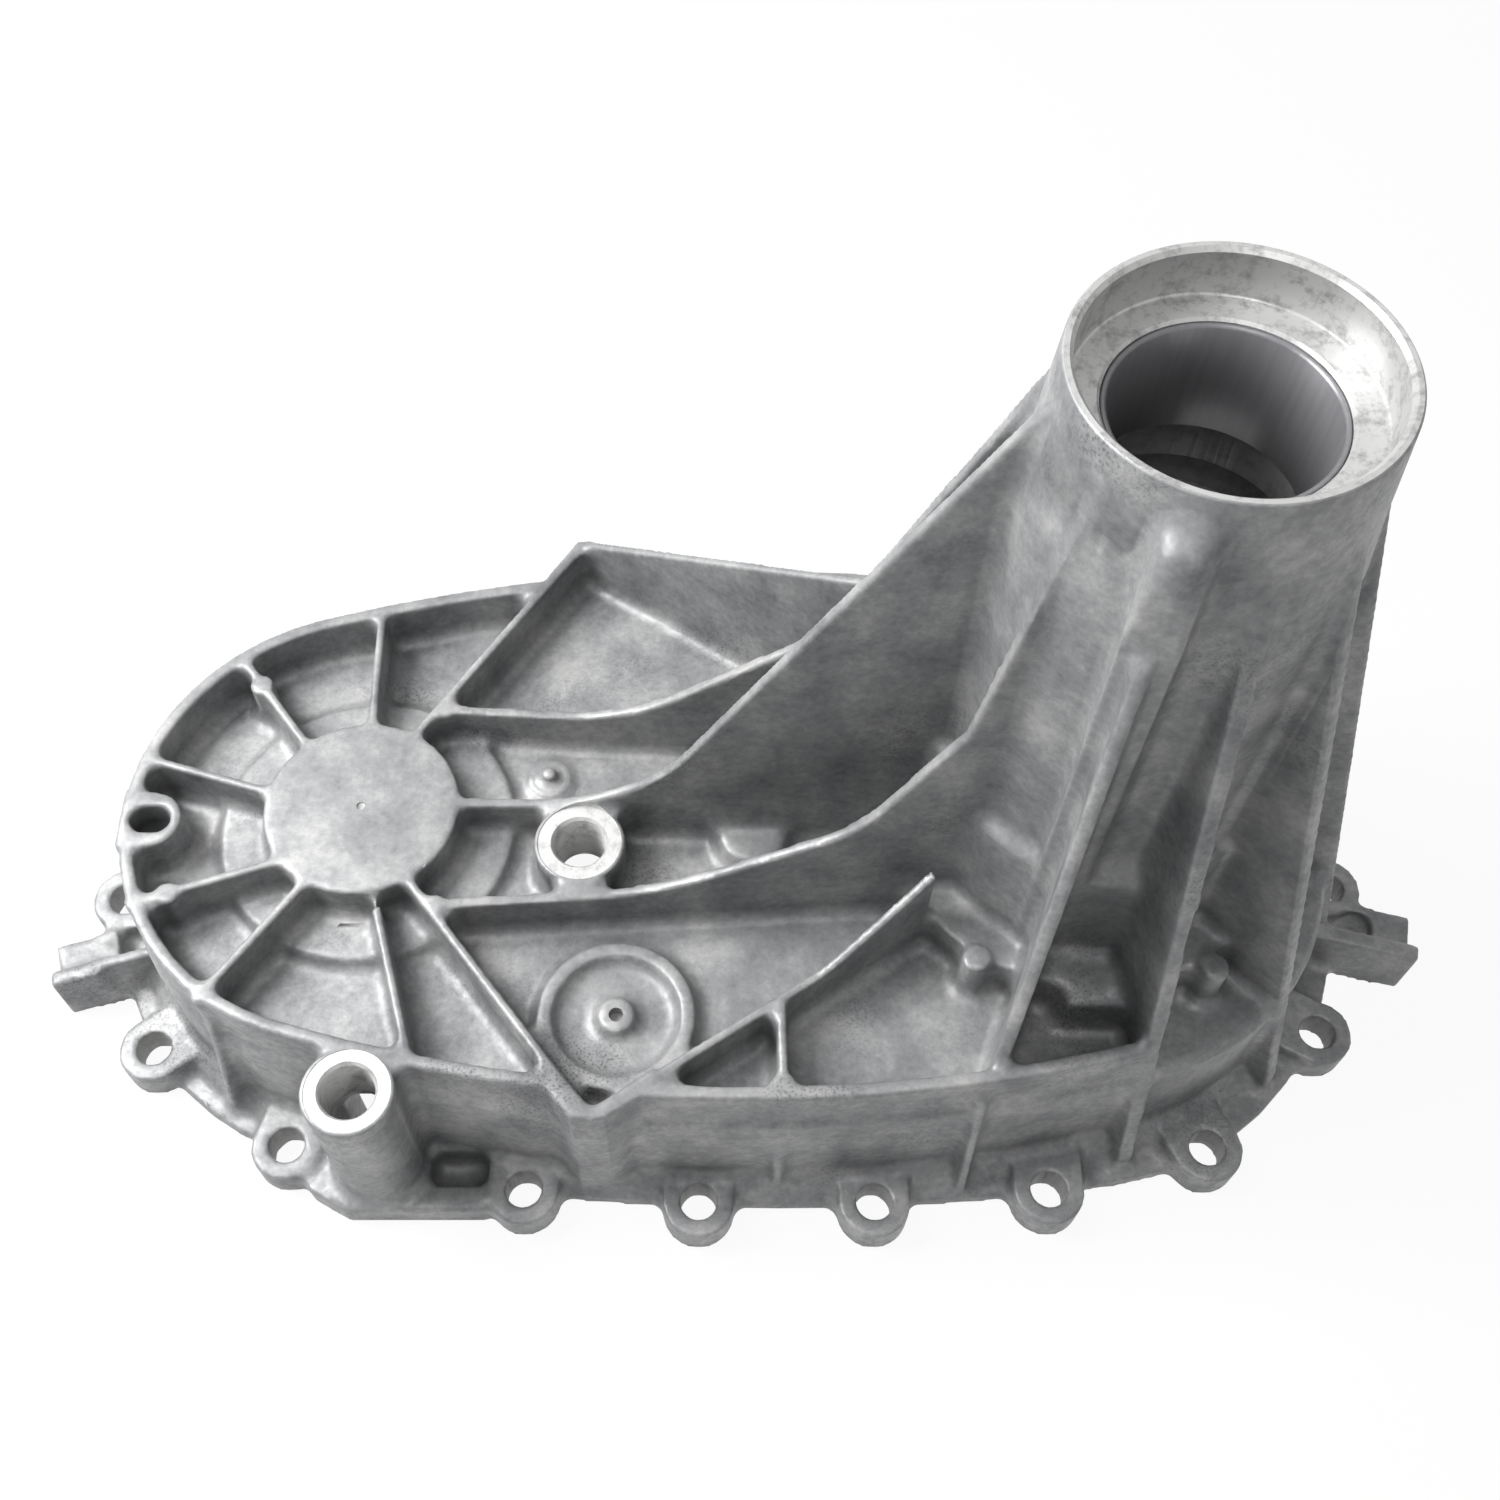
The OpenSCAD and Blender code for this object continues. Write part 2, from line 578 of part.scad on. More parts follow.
module bores() {
    // output shaft, from the seal seat down
    shoulder = tower_h - seal_depth;
    translate([0, 0, shoulder]) cylinder(d = seal_d, h = seal_depth + 1);
    translate([0, 0, tower_h - seal_lead])
        cylinder(d1 = seal_d, d2 = seal_d + 2 * seal_lead, h = seal_lead + eps);
    translate([0, 0, shoulder - bush_land]) cylinder(d = bush_d, h = bush_land + 1);
    translate([0, 0, shoulder - bush_land - throat_l]) cylinder(d = throat_d, h = throat_l + eps);
    translate([0, 0, output_seat_h - 1])
        cylinder(d = core_d, h = shoulder - bush_land - throat_l - output_seat_h + 1 + eps);
    translate([0, 0, -1]) cylinder(d = output_seat_d, h = output_seat_h + 1);
    // blind bearing seat
    translate([boss_x, 0, 0]) cylinder(d = boss_seat_d, h = rim_h - boss_cap_t);
    // plug holes
    for (p = [[boss_x + fill_x, -fill_y], [boss_x + drain_x, -drain_y]])
        translate([p[0], p[1], 0]) {
            translate([0, 0, rim_h - plug_l - 4]) cylinder(d = plug_d, h = plug_l + 5);
            translate([0, 0, rim_h - plug_lead])
                cylinder(d1 = plug_d, d2 = plug_d + 2 * plug_lead, h = plug_lead + eps);
        }
    // oil way from the chain space to the drain thread
    translate([boss_x + drain_x, -drain_y, -1]) cylinder(d = drain_core_d, h = rim_h - plug_l + 1);
    translate([boss_x + drain_x - 6, -drain_y, -1]) cube([12, 20, rim_h - plug_l - 4]);
    // bolt holes
    for (b = bolts) translate([b[0], b[1], -1]) cylinder(d = bolt_d, h = ear_t + 2, $fn = 16);
    // locating slot, tag stud hole and the recess beside the drain boss
    translate([boss_x - slot_x, -slot_y, rim_h - slot_depth]) {
        for (s = [-1, 1]) translate([s * (slot_l - slot_w) / 2, 0, 0])
            cylinder(d = slot_w, h = slot_depth + 1);
        translate([-(slot_l - slot_w) / 2, -slot_w / 2, 0]) cube([slot_l - slot_w, slot_w, slot_depth + 1]);
    }
    translate([boss_x + tag_x, -tag_y, floor_h + 1]) cylinder(d = tag_hole_d, h = tag_h);
    translate([boss_x + 20, -95.5, 4]) cube([17, 10, ear_t]);
}

// from the shaft line to the centre of the bolt rows
module place() {
    translate([-flange_cx, -mid, 0]) children();
}

module rear_case() {
    color([0.62, 0.63, 0.64]) place() difference() {
        outside();
        chain_space();
        bores();
    }
}

module output_bushing() {
    top = tower_h - seal_depth - bush_sink;
    outer = bush_d - 2 * bush_gap;
    inner = outer - 2 * bush_wall;
    color([0.72, 0.66, 0.52]) place() translate([0, 0, top - bush_l]) difference() {
        cylinder(d = outer, h = bush_l);
        translate([0, 0, -1]) cylinder(d = inner, h = bush_l + 2);
        translate([0, 0, bush_l - bush_lead])
            cylinder(d1 = inner, d2 = inner + 2 * bush_lead, h = bush_lead + eps);
    }
}

rear_case();
output_bushing();
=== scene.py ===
import json
import math

import bmesh
import bpy
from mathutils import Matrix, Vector


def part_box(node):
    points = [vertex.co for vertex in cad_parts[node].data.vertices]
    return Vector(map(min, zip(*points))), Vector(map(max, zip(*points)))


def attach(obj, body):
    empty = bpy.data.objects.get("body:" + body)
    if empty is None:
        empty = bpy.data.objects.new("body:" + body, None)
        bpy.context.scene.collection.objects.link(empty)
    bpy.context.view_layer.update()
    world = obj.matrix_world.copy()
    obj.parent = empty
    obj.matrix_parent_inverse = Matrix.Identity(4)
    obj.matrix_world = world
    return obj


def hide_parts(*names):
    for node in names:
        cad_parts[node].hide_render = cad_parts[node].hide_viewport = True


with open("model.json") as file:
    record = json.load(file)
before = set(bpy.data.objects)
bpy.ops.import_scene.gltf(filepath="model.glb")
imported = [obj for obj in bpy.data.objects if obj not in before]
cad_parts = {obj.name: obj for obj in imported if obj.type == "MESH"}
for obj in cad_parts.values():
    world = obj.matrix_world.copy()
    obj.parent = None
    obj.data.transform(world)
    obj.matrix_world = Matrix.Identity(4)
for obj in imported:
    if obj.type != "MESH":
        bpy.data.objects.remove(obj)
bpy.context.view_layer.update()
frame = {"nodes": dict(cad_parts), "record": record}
mm = 0.001
scene = bpy.context.scene
print("frame loaded", sorted(frame["nodes"]))

# places of the casting's mating features, in metres
mounts = {mount["name"]: mount for mount in frame["record"]["mounts"]}
towerFoot = Vector((*mounts["seal_seat"]["pos_m"][:2], 0))
fillAxis = Vector((*mounts["fill_hole"]["pos_m"][:2], 0))
drainAxis = Vector((*mounts["drain_hole"]["pos_m"][:2], 0))
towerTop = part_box("rear_case")[1][2]
sealRadius = mounts["seal_seat"]["dims"]["r_mm"] * mm
plugRadius = mounts["fill_hole"]["dims"]["r_mm"] * mm
rimTop = 69 * mm                   # the rim, the boss cap and the plug bosses end here
bossAxis = Vector((*mounts["blind_bearing_seat"]["pos_m"][:2], 0))
tagAxis = bossAxis + Vector((76, -61.2, 0)) * mm        # middle of the round tag seat
bushLow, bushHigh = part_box("output_bushing")
bushRadius = (bushHigh[0] - bushLow[0]) / 2
bushHeights = (bushLow[2], bushHigh[2])


def boltPlaces():
    # plan place of every bolt hole round the flange
    for mount in mounts.values():
        x, y, z = mount["pos_m"]
        if mount["kind"] == "bolt_pattern":
            halfX = mount["dims"].get("spacing_x_mm", 0) * mm / 2
            halfY = mount["dims"].get("spacing_y_mm", 0) * mm / 2
            for i in ((-1, 1) if halfX else (0,)):
                for j in ((-1, 1) if halfY else (0,)):
                    yield Vector((x + i * halfX, y + j * halfY, 0))
        elif mount["name"].startswith("end_bolt_"):
            yield Vector((x, y, 0))


# Camera

cameraView = {
    "place": (-24.4 * mm, -247.55 * mm, 501.5 * mm),
    "lookDown": 59.4,               # degrees below level
    "imageWidth": 1500,             # pixels of the square picture
    "focal": 1701,                  # pixels
    "centre": (703, 786),           # pixel that the lens looks at
}


def makeCamera(view):
    data = bpy.data.cameras.new("camera")
    data.sensor_width = 36
    data.sensor_fit = "HORIZONTAL"
    data.lens = data.sensor_width * view["focal"] / view["imageWidth"]
    half = view["imageWidth"] / 2
    data.shift_x = (half - view["centre"][0]) / view["imageWidth"]
    data.shift_y = (view["centre"][1] - half) / view["imageWidth"]
    data.clip_start = 0.01
    camera = bpy.data.objects.new("camera", data)
    camera.location = view["place"]
    camera.rotation_euler = (math.radians(90 - view["lookDown"]), 0, 0)
    scene.collection.objects.link(camera)
    scene.camera = camera


makeCamera(cameraView)


# Materials

def linear(hexColour):
    # sRGB hex to the linear colour that a socket takes
    channels = [int(hexColour[i:i + 2], 16) / 255 for i in (1, 3, 5)]
    return [c / 12.92 if c <= 0.04045 else ((c + 0.055) / 1.055) ** 2.4 for c in channels] + [1]


def addNode(tree, kind, settings=None, links=None):
    # one node: settings are attributes or socket values, links are sockets fed by other nodes
    node = tree.nodes.new(kind)
    for name, value in (settings or {}).items():
        if isinstance(name, int) or name in node.inputs:
            node.inputs[name].default_value = value
        else:
            setattr(node, name, value)
    for name, source in (links or {}).items():
        tree.links.new(source, node.inputs[name])
    return node


def newMaterial(name):
    material = bpy.data.materials.new(name)
    material.use_nodes = True
    tree = material.node_tree
    tree.nodes.clear()
    output = addNode(tree, "ShaderNodeOutputMaterial")
    return material, tree, output


black, white = "#000000", "#ffffff"


def colourRamp(tree, source, stops):
    # ramp from (place, hex) stops
    stops = list(stops)
    ramp = addNode(tree, "ShaderNodeValToRGB", links={0: source})
    elements = ramp.color_ramp.elements
    while len(elements) < len(stops):
        elements.new(0.5)
    for element, (place, hexColour) in zip(elements, stops):
        element.position = place
        element.color = linear(hexColour)
    return ramp.outputs[0]


acrossGrooves = 0.25                # quarter turn, so that the highlight lies across the grooves


def roundTangent(tree, place):
    # direction of the turning grooves round the tower's shaft line
    centred = addNode(tree, "ShaderNodeMapping", {"vector_type": "POINT", "Location": -towerFoot},
                      {"Vector": place})
    return addNode(tree, "ShaderNodeVectorMath", {"operation": "CROSS_PRODUCT", 1: (0, 0, 1)},
                   {0: centred.outputs[0]}).outputs[0]


castLook = {
    "dark": "#696a6c", "mid": "#868788", "light": "#a4a4a3",
    "metallic": 0.2,
    "roughness": (0.36, 0.54),
    "cloud": 20,                    # mm between the broad light and dark patches
    "mottle": 2.4,                  # mm between the small stains
    "skin": 0.9,                    # mm, the fine orange peel of the die face
    "stainStops": (0.52, 0.74, 0.96),
    "mottleTint": 0.5,              # of the small stains in the colour
    "bump": 0.12, "bumpDeep": 0.3,  # share of the relief, and mm of it
    "mottleShare": 1.6,             # of the small stains in the relief
    "paintedShadeReach": 8,               # mm that the painted shade in a corner reaches
    # painted shade: the colour that ambient occlusion darkens the corners and creases to
    "paintedShadeDark": "#585858", "paintedShadeStops": (0.25, 0.85),
    "paintedEdgeHighlight": "#525252",         # painted highlight added along the convex outer edges
    "edgeHighlightStops": (0.52, 0.60),
    "level": (0.985, 0.998),        # how upright a face's normal is where it counts as level and gets no painted edge highlight
    "pitPatch": 45, "pit": 0.8,     # mm, size of the pitted patches and of the pits in them
    "patchStops": (0.56, 0.70), "pitStops": (0.50, 0.66),
    "pitDark": "#b4b4b4",
}


def castMagnesium(look):
    # die cast magnesium, satin and slightly cloudy: stains, a fine skin, patches of small pits,
    # painted shade that darkens the corners and a painted highlight along the outer edges
    material, tree, output = newMaterial("castMagnesium")
    place = addNode(tree, "ShaderNodeTexCoord").outputs["Object"]
    cloud = addNode(tree, "ShaderNodeTexNoise", {"Scale": 1 / (look["cloud"] * mm), "Detail": 5,
                    "Roughness": 0.6, "Distortion": 0.1}, {"Vector": place})
    mottle = addNode(tree, "ShaderNodeTexNoise", {"Scale": 1 / (look["mottle"] * mm), "Detail": 6,
                     "Roughness": 0.7}, {"Vector": place})
    skin = addNode(tree, "ShaderNodeTexNoise", {"Scale": 1 / (look["skin"] * mm), "Detail": 3,
                   "Roughness": 0.6}, {"Vector": place})
    both = addNode(tree, "ShaderNodeMath", {"operation": "MULTIPLY_ADD", 1: look["mottleTint"]},
                   {0: mottle.outputs[0], 2: cloud.outputs[0]})
    stains = colourRamp(tree, both.outputs[0],
                        zip(look["stainStops"], (look["dark"], look["mid"], look["light"])))
    # painted shade: ambient occlusion darkens the base colour in corners and creases
    corner = addNode(tree, "ShaderNodeAmbientOcclusion",
                     {"samples": 4, "Distance": look["paintedShadeReach"] * mm})
    paintedCornerShade = colourRamp(tree, corner.outputs["AO"],
                         zip(look["paintedShadeStops"], (look["paintedShadeDark"], white)))
    shaded = addNode(tree, "ShaderNodeMix",
                     {"data_type": "RGBA", "blend_type": "MULTIPLY", 0: 1.0},
                     {6: stains, 7: paintedCornerShade})
    patch = addNode(tree, "ShaderNodeTexNoise", {"Scale": 1 / (look["pitPatch"] * mm), "Detail": 2},
                    {"Vector": place})
    grains = addNode(tree, "ShaderNodeTexNoise", {"Scale": 1 / (look["pit"] * mm), "Detail": 2},
                     {"Vector": place})
    pits = addNode(tree, "ShaderNodeMath", {"operation": "MULTIPLY"},
                   {0: colourRamp(tree, patch.outputs[0], zip(look["patchStops"], (black, white))),
                    1: colourRamp(tree, grains.outputs[0], zip(look["pitStops"], (black, white)))})
    pitted = addNode(tree, "ShaderNodeMix", {"data_type": "RGBA", "blend_type": "MULTIPLY",
                     7: linear(look["pitDark"])}, {0: pits.outputs[0], 6: shaded.outputs[2]})
    # painted highlight: a lighter colour is added on convex edges, found by pointiness
    form = addNode(tree, "ShaderNodeNewGeometry")
    edges = colourRamp(tree, form.outputs["Pointiness"],
                       zip(look["edgeHighlightStops"], (black, look["paintedEdgeHighlight"])))
    # level faces get no painted edge highlight
    upward = addNode(tree, "ShaderNodeSeparateXYZ", links={0: form.outputs["Normal"]}).outputs[2]
    sloped = addNode(tree, "ShaderNodeMapRange", {"From Min": look["level"][0],
                     "From Max": look["level"][1], "To Min": 1, "To Max": 0}, {"Value": upward})
    colour = addNode(tree, "ShaderNodeMix", {"data_type": "RGBA", "blend_type": "ADD"},
                     {0: sloped.outputs[0], 6: pitted.outputs[2], 7: edges})
    rough = addNode(tree, "ShaderNodeMapRange", {"From Min": 0.3, "From Max": 0.7,
                    "To Min": look["roughness"][1], "To Max": look["roughness"][0]},
                    {"Value": mottle.outputs[0]})
    height = addNode(tree, "ShaderNodeMath", {"operation": "MULTIPLY_ADD", 1: look["mottleShare"]},
                     {0: mottle.outputs[0], 2: skin.outputs[0]})
    bump = addNode(tree, "ShaderNodeBump",
                   {"Strength": look["bump"], "Distance": look["bumpDeep"] * mm},
                   {"Height": height.outputs[0]})
    shader = addNode(tree, "ShaderNodeBsdfPrincipled", {"Metallic": look["metallic"]},
                     {"Base Color": colour.outputs[2], "Roughness": rough.outputs[0],
                      "Normal": bump.outputs[0]})
    tree.links.new(shader.outputs[0], output.inputs[0])
    return material


turnedLook = {
    "base": "#c4c4c3", "stain": "#979796", "metallic": 0.5,
    "roughness": 0.36,
    "groove": 0.7,                  # how far the highlight is drawn out across the grooves
    "bump": 0.06,
}
turningMarks = {
    "pitch": 0.8,                   # mm between turning marks, drawn coarser than real ones
    "ringsPerUnit": 20,             # rings that the wave pattern draws at a scale of 1
    "deep": 0.1,                    # mm
    "stainSize": 5,                 # mm between the stains left by storage
    "stainStops": (0.36, 0.52),
}


def turnedMagnesium(name, look):
    # machined magnesium, bright, with the fine rings that the tool leaves
    material, tree, output = newMaterial(name)
    place = addNode(tree, "ShaderNodeTexCoord").outputs["Object"]
    centred = addNode(tree, "ShaderNodeMapping", {"vector_type": "POINT", "Location": -towerFoot},
                      {"Vector": place})
    rings = addNode(tree, "ShaderNodeTexWave", {"wave_type": "RINGS",
                    "rings_direction": "SPHERICAL",
                    "Scale": 1 / (turningMarks["pitch"] * mm) / turningMarks["ringsPerUnit"],
                    "Distortion": 0.3, "Detail": 2, "Detail Scale": 3},
                    {"Vector": centred.outputs[0]})
    stain = addNode(tree, "ShaderNodeTexNoise", {"Scale": 1 / (turningMarks["stainSize"] * mm),
                    "Detail": 8, "Roughness": 0.75}, {"Vector": place})
    colour = colourRamp(tree, stain.outputs[0],
                        zip(turningMarks["stainStops"], (look["stain"], look["base"])))
    bump = addNode(tree, "ShaderNodeBump",
                   {"Strength": look["bump"], "Distance": turningMarks["deep"] * mm},
                   {"Height": rings.outputs[1]})
    shader = addNode(tree, "ShaderNodeBsdfPrincipled",
                     {"Metallic": look["metallic"], "Roughness": look["roughness"],
                      "Anisotropic": look["groove"], "Anisotropic Rotation": acrossGrooves},
                     {"Base Color": colour, "Normal": bump.outputs[0],
                      "Tangent": roundTangent(tree, place)})
    tree.links.new(shader.outputs[0], output.inputs[0])
    return material


bushLook = {
    "base": "#808083", "streak": "#7a7a7d", "metallic": 0.4, "roughness": 0.34, "groove": 0.6,
    "streakWidth": 1.5,             # mm
    "streakDraw": 0.05,             # how far a streak is drawn out along the bore, 1 is not at all
    "streakStops": (0.35, 0.6),
}


def bushSteel(look):
    # finely turned steel lining, dark, with streaks along the bore
    material, tree, output = newMaterial("bushSteel")
    place = addNode(tree, "ShaderNodeTexCoord").outputs["Object"]
    drawn = addNode(tree, "ShaderNodeMapping", {"Scale": (1, 1, look["streakDraw"])},
                    {"Vector": place})
    streak = addNode(tree, "ShaderNodeTexNoise",
                     {"Scale": 1 / (look["streakWidth"] * mm), "Detail": 4},
                     {"Vector": drawn.outputs[0]})
    colour = colourRamp(tree, streak.outputs[0],
                        zip(look["streakStops"], (look["streak"], look["base"])))
    shader = addNode(tree, "ShaderNodeBsdfPrincipled",
                     {"Metallic": look["metallic"], "Roughness": look["roughness"],
                      "Anisotropic": look["groove"], "Anisotropic Rotation": acrossGrooves},
                     {"Base Color": colour, "Tangent": roundTangent(tree, place)})
    tree.links.new(shader.outputs[0], output.inputs[0])
    return material


# drilled and bored holes in the same metal, duller than the turned faces
drilledLook = {"base": "#a0a09f", "stain": "#8a8a89", "metallic": 0.15,
               "roughness": 0.55, "groove": 0, "bump": 0.04}
# faced and threaded metal of the plug bosses, a fine satin
plugLook = {"base": "#c2c2c1", "stain": "#9c9c9b", "metallic": 0.45,
            "roughness": 0.46, "groove": 0, "bump": 0.03}

castMaterial = castMagnesium(castLook)
turnedMaterial = turnedMagnesium("turnedMagnesium", turnedLook)
drilledMaterial = turnedMagnesium("drilledMagnesium", drilledLook)
plugMaterial = turnedMagnesium("facedMagnesium", plugLook)
bushMaterial = bushSteel(bushLook)
print("materials ready")


# Casting

caseShape = {
    "grain": 0.9,                   # mm, size of the cells that the skin is made of
    "fillet": 2.2,                  # mm, radius that the inner corners are filled to
    "soften": 2,                    # smoothing rounds on the sharp outer edges
    "triangles": 140000,
    # places that the die rounds off more, as (centre from the shaft line, reach, smoothing rounds)
    "softPlaces": [((-16, -43.5, 237), 12, 140), ((-92, -2, 60), 17, 25), ((0, -53, 66), 16, 25),
                   ((0, -53, 107), 22, 10), ((-15, -40, 225), 12, 20),
                   ((114, -18.5, 11), 16, 10), ((-311.6, -28, 11), 16, 10)],
}


def bake(piece):
    # replace the mesh by what the modifiers make of it
    graph = bpy.context.evaluated_depsgraph_get()
    made = bpy.data.meshes.new_from_object(piece.evaluated_get(graph))
    piece.modifiers.clear()
    piece.data = made


def addModifier(piece, kind, **settings):
    modifier = piece.modifiers.new(kind.lower(), kind)
    for name, value in settings.items():
        setattr(modifier, name, value)


def newPiece(bm, name, *materials):
    # the bmesh as a new piece of the scene
    mesh = bpy.data.meshes.new(name)
    bm.to_mesh(mesh)
    bm.free()
    for material in materials:
        mesh.materials.append(material)
    piece = bpy.data.objects.new(name, mesh)
    scene.collection.objects.link(piece)
    return piece


def mergedCopy(node, name):
    # the node's triangles as one joined mesh of a new piece
    bm = bmesh.new()
    bm.from_mesh(frame["nodes"][node].data)
    bmesh.ops.remove_doubles(bm, verts=bm.verts, dist=1e-6)
    return newPiece(bm, name)


def softenPlaces(piece, places):
    # smooth only the vertices round each place
    bm = bmesh.new()
    bm.from_mesh(piece.data)
    for centre, reach, rounds in places:
        middle = towerFoot + Vector(centre) * mm
        near = [vert for vert in bm.verts if (vert.co - middle).length_squared < (reach * mm) ** 2]
        for turn in range(rounds):
            bmesh.ops.smooth_vert(bm, verts=near, factor=0.5, use_axis_x=True, use_axis_y=True,
                                  use_axis_z=True)
    bm.to_mesh(piece.data)
    bm.free()


def roundCastEdges(piece, shape):
    # grow and shrink a second skin, which leaves a fillet in every inner corner, then
    # join it to the first one, which keeps the thin fins and rims at their full size
    grain = shape["grain"] * mm
    fillet = shape["fillet"] * mm
    first = piece.data
    addModifier(piece, "REMESH", mode="VOXEL", voxel_size=grain)
    addModifier(piece, "DISPLACE", strength=fillet, mid_level=0)
    addModifier(piece, "REMESH", mode="VOXEL", voxel_size=grain)
    addModifier(piece, "DISPLACE", strength=-fillet, mid_level=0)
    addModifier(piece, "REMESH", mode="VOXEL", voxel_size=grain)
    bake(piece)
    both = bmesh.new()
    both.from_mesh(first)
    both.from_mesh(piece.data)
    both.to_mesh(piece.data)
    both.free()
    addModifier(piece, "REMESH", mode="VOXEL", voxel_size=grain)
    addModifier(piece, "SMOOTH", factor=0.5, iterations=shape["soften"])
    bake(piece)
    softenPlaces(piece, shape["softPlaces"])
    faces = sum(len(polygon.vertices) - 2 for polygon in piece.data.polygons)
    print("casting skin", faces, "triangles")
    addModifier(piece, "DECIMATE", ratio=min(1, shape["triangles"] / faces))
    bake(piece)
    print("casting thinned", len(piece.data.polygons))


# machined places, in mm
skinCut = 0.2                       # how far the cuts run into the rounded skin
clear = 3                           # how far a cut starts above its face

towerCut = {
    "lead": 1.0, "seatDepth": 12.7, "corner": 0.7,
    "cornerTurns": (0, 30, 60, 90),         # degrees, the steps of the corner's rounding
    "bushEdge": 0.7, "bushLand": 33, "throatRadius": 29, "throatLength": 14,
    "coreRadius": 33, "bottom": 176, "coreLap": 1, "faceRadius": 42, "segments": 180,
}

plugCut = {
    "lead": 1.0, "pitch": 1.5, "threadDepth": 0.75, "stepsPerTurn": 5, "segments": 48,
    "fillFace": 12.2, "drainFace": 11.8, "fillDepth": 22.6, "drainDepth": 20,
}

drillCut = {
    "boltRadius": 5.25, "boltDepth": 12.4, "segments": 36,
    "tagRadius": 2, "tagHigh": 61, "tagLow": 54.2,
    "below": 1,                     # how far the bolt holes run out below the flange
    "markRadius": 1.5, "markDepth": 0.9, "markTaper": 0.8, "markLip": 0.4, "markAbove": 1,
    "faceRadius": 400, "faceDepth": 6,      # the cut that makes the mating face flat
}


def spunBody(name, profile, axis, segments, material):
    # a closed profile of (radius, height) in mm that starts and ends on the axis
    bm = bmesh.new()
    verts = [bm.verts.new((r * mm, 0, z * mm)) for r, z in profile]
    edges = [bm.edges.new(pair) for pair in zip(verts, verts[1:])]
    bmesh.ops.spin(bm, geom=verts + edges, cent=(0, 0, 0), axis=(0, 0, 1),
                   angle=2 * math.pi, steps=segments, use_merge=True)
    bmesh.ops.remove_doubles(bm, verts=bm.verts, dist=1e-7)
    bmesh.ops.recalc_face_normals(bm, faces=bm.faces)
    bmesh.ops.translate(bm, verts=bm.verts, vec=axis)
    return newPiece(bm, name, material)


def threadedBody(name, axis, faceRadius, top, depth, cut, material):
    # threaded hole with a lead in, and a flat face round its mouth
    face = top - skinCut
    turns = depth / cut["pitch"]
    count = round(turns * cut["stepsPerTurn"])
    rows = []
    for row in range(count + 1):
        z = top - depth + (face - top + depth) * row / count
        fade = min(1, row / cut["stepsPerTurn"])
        lead = plugRadius / mm + skinCut + cut["lead"] - (face - z)
        ring = []
        for i in range(cut["segments"]):
            phase = (z / cut["pitch"] - i / cut["segments"]) % 1
            tooth = 1 - abs(2 * phase - 1)
            thread = plugRadius / mm + skinCut + cut["threadDepth"] * tooth * fade
            ring.append((max(thread, lead), z))
        rows.append(ring)
    rows.append([(faceRadius, face)] * cut["segments"])
    rows.append([(faceRadius, top + clear)] * cut["segments"])
    bm = bmesh.new()
    grid = []
    for ring in rows:
        grid.append([])
        for i, (r, z) in enumerate(ring):
            turn = 2 * math.pi * i / cut["segments"]
            grid[-1].append(bm.verts.new((r * mm * math.cos(turn), r * mm * math.sin(turn),
                                          z * mm)))
    for low, high in zip(grid, grid[1:]):
        for i in range(cut["segments"]):
            j = (i + 1) % cut["segments"]
            bm.faces.new((low[i], low[j], high[j], high[i]))
    bm.faces.new(grid[0][::-1])
    bm.faces.new(grid[-1])
    bmesh.ops.translate(bm, verts=bm.verts, vec=axis)
    return newPiece(bm, name, material)


def combine(piece, operation, bodies):
    # cut the bodies out of the piece, or add them to it, and keep their materials
    for body in bodies:
        addModifier(piece, "BOOLEAN", operation=operation, solver="MANIFOLD",
                    object=body, material_mode="TRANSFER")
    bake(piece)
    for body in bodies:
        bpy.data.objects.remove(body)


def towerBore(cut):
    # seal seat and bush bore, cut from the tower face down
    top = towerTop / mm
    face = top - skinCut / 2
    shoulder = top - cut["seatDepth"] - skinCut / 2
    seat = sealRadius / mm + skinCut
    bore = bushRadius / mm + skinCut
    corner = cut["corner"]
    foot = top - cut["seatDepth"] - cut["bushLand"]
    fillet = [(seat - corner + corner * math.cos(math.radians(a)),
               shoulder + corner - corner * math.sin(math.radians(a)))
              for a in cut["cornerTurns"]]
    return [(0, top + clear), (cut["faceRadius"], top + clear), (cut["faceRadius"], face),
            (seat + cut["lead"], face), (seat, face - cut["lead"]), *fillet,
            (bore + cut["bushEdge"], shoulder), (bore, shoulder - cut["bushEdge"]),
            (bore, foot), (0, foot)]


def towerCore(cut):
    # throat and core below the bush, which lap a little into its bore
    foot = towerTop / mm - cut["seatDepth"] - cut["bushLand"]
    lap = bushRadius / mm - cut["coreLap"]
    throat = cut["throatRadius"] + skinCut
    core = cut["coreRadius"] + skinCut
    return [(0, foot + cut["coreLap"]), (lap, foot + cut["coreLap"]), (lap, foot), (throat, foot),
            (throat, foot - cut["throatLength"]), (core, foot - cut["throatLength"]),
            (core, cut["bottom"]), (0, cut["bottom"])]


# cast details that are finer than the grain of the skin, in mm
sunk = 1                            # how far a detail reaches into the casting below
edgeTurns = (0, 22, 45, 67, 90)     # degrees, the steps of a rounded edge
towerCollar = {"low": 226, "lowRadius": 38.15, "topRadius": 36.5, "proud": 0.12, "edge": 0.9,
               "foot": 1.2}         # the foot draws in by this much
plugBoss = {"fillRadius": 13.25, "drainRadius": 12.85, "low": 64, "proud": 0.04, "edge": 0.9,
            "segments": 64}
pinPad = {"place": (53.5, 18),      # from the middle of the boss cap
          "floor": 53, "padRadius": 6.7, "padHeight": 1.7,
          "pinRadius": 2.1, "pinHeight": 5.0, "edge": 0.5, "segments": 40}


